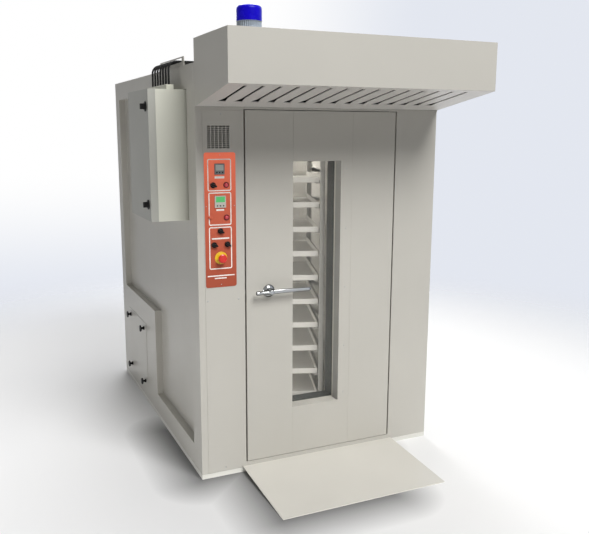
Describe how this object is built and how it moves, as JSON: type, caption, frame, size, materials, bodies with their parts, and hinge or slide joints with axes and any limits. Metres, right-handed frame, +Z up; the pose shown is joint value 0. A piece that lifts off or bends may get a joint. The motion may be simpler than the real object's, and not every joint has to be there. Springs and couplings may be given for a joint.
{
  "type": "rotating rack oven",
  "caption": "Free-standing bakery oven with a tall glazed door, a turning tray rack, a steam hood, a control column and an entry ramp.",
  "frame": {"origin": "On the floor under the middle of the cabinet's footprint, without the hood and the ramp.", "axes": "+X to the right seen from the front, +Y from the door into the cabinet, +Z up."},
  "size_m": [1.7383, 2.68, 2.5226],
  "materials": {
    "shell_paint": "gloss",
    "stainless": "brushed",
    "galvanised": "satin",
    "machinery": "satin",
    "cast_iron": "matte",
    "burner_red": "gloss",
    "window_glass": "clear",
    "seal_rubber": "matte",
    "chrome": "polished",
    "black_plastic": "satin",
    "conduit_black": "matte",
    "fascia_orange": "gloss",
    "instrument_dark": "satin",
    "lamp_lens": "gloss",
    "estop_yellow": "gloss",
    "estop_red": "gloss",
    "beacon_grey": "gloss",
    "beacon_blue": "gloss",
    "castor_tread": "matte",
    "dark_sleeve": "satin"
  },
  "bodies": {
    "cabinet": {"base_frame": "shell_paint", "front_frame": "shell_paint", "left_side_panel": "shell_paint", "right_side_panel": "shell_paint", "back_panel": "shell_paint", "roof_panel": "shell_paint", "control_column_cover": "shell_paint", "chamber_liner": "stainless", "turntable_bearing": "cast_iron", "rack_gearmotor": "machinery", "fan_motor": "machinery", "heat_exchanger": "galvanised", "burner": "burner_red", "steam_cascade": "cast_iron", "loading_ramp": "shell_paint", "hood_shell": "shell_paint", "hood_baffle": "stainless", "beacon_base": "beacon_grey", "beacon_dome": "beacon_blue", "control_fascia": "fascia_orange", "temperature_controller": "instrument_dark", "bake_timer": "instrument_dark", "electrical_box": "shell_paint", "contactor_rail": "instrument_dark", "cable_conduits": "conduit_black", "heating_lamp": "lamp_lens", "ready_lamp": "lamp_lens", "estop_base": "estop_yellow"},
    "door": {"door_shell": "shell_paint", "door_liner": "stainless", "outer_glass": "window_glass", "inner_glass": "window_glass", "window_spacer": "dark_sleeve", "door_gasket": "seal_rubber", "handle_rosette": "chrome"},
    "door_handle": {"handle_lever": "chrome"},
    "door_latch": {"latch_bolt": "stainless"},
    "rack_rotor": {"turntable": "stainless", "rack_frame": "stainless", "tray_stack": "stainless", "drive_fork": "galvanised"},
    "fan_wheel": {"fan_impeller": "galvanised"},
    "box_door": {"electrical_box_door": "shell_paint"},
    "lower_box_latch": {"box_latch_lower": "black_plastic"},
    "upper_box_latch": {"box_latch_upper": "black_plastic"},
    "access_cover": {"access_panel": "shell_paint"},
    "power_knob": {"power_selector": "black_plastic"},
    "steam_knob": {"steam_selector": "black_plastic"},
    "light_knob": {"light_selector": "black_plastic"},
    "fan_knob": {"fan_selector": "black_plastic"},
    "start_push": {"start_button": "fascia_orange"},
    "stop_push": {"estop_button": "estop_red"},
    "castor_1": {"castor_wheel_1": "castor_tread"},
    "cover_knob_1": {"access_knob_1": "black_plastic"},
    "castor_2": {"castor_wheel_2": "castor_tread"},
    "cover_knob_2": {"access_knob_2": "black_plastic"},
    "castor_3": {"castor_wheel_3": "castor_tread"},
    "cover_knob_3": {"access_knob_3": "black_plastic"},
    "castor_4": {"castor_wheel_4": "castor_tread"},
    "cover_knob_4": {"access_knob_4": "black_plastic"}
  },
  "joints": [
    {"name": "door_hinge", "type": "hinge", "parent": "cabinet", "child": "door", "pos_m": [0.4265, -1.0315, 1.064], "axis": [0, 0, 1], "range_deg": [0, 110]},
    {"name": "handle_turn", "type": "hinge", "parent": "door", "child": "door_handle", "pos_m": [-0.3425, -1.0775, 1.069], "axis": [0, 1, 0], "range_deg": [0, 40], "stiffness_Nm_per_rad": 3, "springref_deg": -28.65},
    {"name": "latch_slide", "type": "slide", "parent": "door", "child": "door_latch", "axis": [1, 0, 0], "range_m": [0, 0.0035]},
    {"name": "rack_turn", "type": "hinge", "parent": "cabinet", "child": "rack_rotor", "pos_m": [-0.0055, -0.4165, 0.058], "axis": [0, 0, 1], "continuous": true},
    {"name": "castor_1_roll", "type": "hinge", "parent": "rack_rotor", "child": "castor_1", "pos_m": [-0.3006, -0.63333, 0.1083], "axis": [0.9472, -0.3206, 0], "continuous": true},
    {"name": "castor_2_roll", "type": "hinge", "parent": "rack_rotor", "child": "castor_2", "pos_m": [0.09723, -0.76799, 0.1083], "axis": [0.9472, -0.3206, 0], "continuous": true},
    {"name": "castor_3_roll", "type": "hinge", "parent": "rack_rotor", "child": "castor_3", "pos_m": [0.2896, -0.19967, 0.1083], "axis": [0.9472, -0.3206, 0], "continuous": true},
    {"name": "castor_4_roll", "type": "hinge", "parent": "rack_rotor", "child": "castor_4", "pos_m": [-0.10823, -0.06501, 0.1083], "axis": [0.9472, -0.3206, 0], "continuous": true},
    {"name": "fan_turn", "type": "hinge", "parent": "cabinet", "child": "fan_wheel", "pos_m": [-0.0005, 0.3525, 1.94], "axis": [0, 0, 1], "continuous": true},
    {"name": "box_door_hinge", "type": "hinge", "parent": "cabinet", "child": "box_door", "pos_m": [-0.91535, -0.374, 1.82], "axis": [0, 0, -1], "range_deg": [0, 115]},
    {"name": "lower_box_latch_turn", "type": "hinge", "parent": "box_door", "child": "lower_box_latch", "pos_m": [-0.9558, -0.8185, 1.558], "axis": [1, 0, 0], "range_deg": [0, 90]},
    {"name": "upper_box_latch_turn", "type": "hinge", "parent": "box_door", "child": "upper_box_latch", "pos_m": [-0.9558, -0.8185, 2.083], "axis": [1, 0, 0], "range_deg": [0, 90]},
    {"name": "access_cover_pull", "type": "slide", "parent": "cabinet", "child": "access_cover", "axis": [-1, 0, 0], "range_m": [0, 0.08]},
    {"name": "cover_knob_1_turn", "type": "hinge", "parent": "access_cover", "child": "cover_knob_1", "pos_m": [-0.7725, 0.3225, 0.146], "axis": [1, 0, 0], "range_deg": [0, 90]},
    {"name": "cover_knob_2_turn", "type": "hinge", "parent": "access_cover", "child": "cover_knob_2", "pos_m": [-0.7725, 0.3225, 0.546], "axis": [1, 0, 0], "range_deg": [0, 90]},
    {"name": "cover_knob_3_turn", "type": "hinge", "parent": "access_cover", "child": "cover_knob_3", "pos_m": [-0.7725, 0.7655, 0.146], "axis": [1, 0, 0], "range_deg": [0, 90]},
    {"name": "cover_knob_4_turn", "type": "hinge", "parent": "access_cover", "child": "cover_knob_4", "pos_m": [-0.7725, 0.7655, 0.546], "axis": [1, 0, 0], "range_deg": [0, 90]},
    {"name": "power_knob_turn", "type": "hinge", "parent": "cabinet", "child": "power_knob", "pos_m": [-0.662, -1.0595, 1.672], "axis": [0, 1, 0], "range_deg": [0, 90]},
    {"name": "steam_knob_turn", "type": "hinge", "parent": "cabinet", "child": "steam_knob", "pos_m": [-0.6235, -1.0595, 1.424], "axis": [0, 1, 0], "range_deg": [0, 120]},
    {"name": "light_knob_turn", "type": "hinge", "parent": "cabinet", "child": "light_knob", "pos_m": [-0.6605, -1.0595, 1.35], "axis": [0, 1, 0], "range_deg": [0, 60]},
    {"name": "fan_knob_turn", "type": "hinge", "parent": "cabinet", "child": "fan_knob", "pos_m": [-0.585, -1.0595, 1.35], "axis": [0, 1, 0], "range_deg": [0, 90]},
    {"name": "start_press", "type": "slide", "parent": "cabinet", "child": "start_push", "axis": [0, 1, 0], "range_m": [0, 0.0025], "stiffness_N_per_m": 400, "springref_m": -0.002},
    {"name": "stop_press", "type": "slide", "parent": "cabinet", "child": "stop_push", "axis": [0, 1, 0], "range_m": [0, 0.006]}
  ],
  "couplings": [
    {"joint": "latch_slide", "follows": "handle_turn", "m_per_rad": 0.0043}
  ]
}
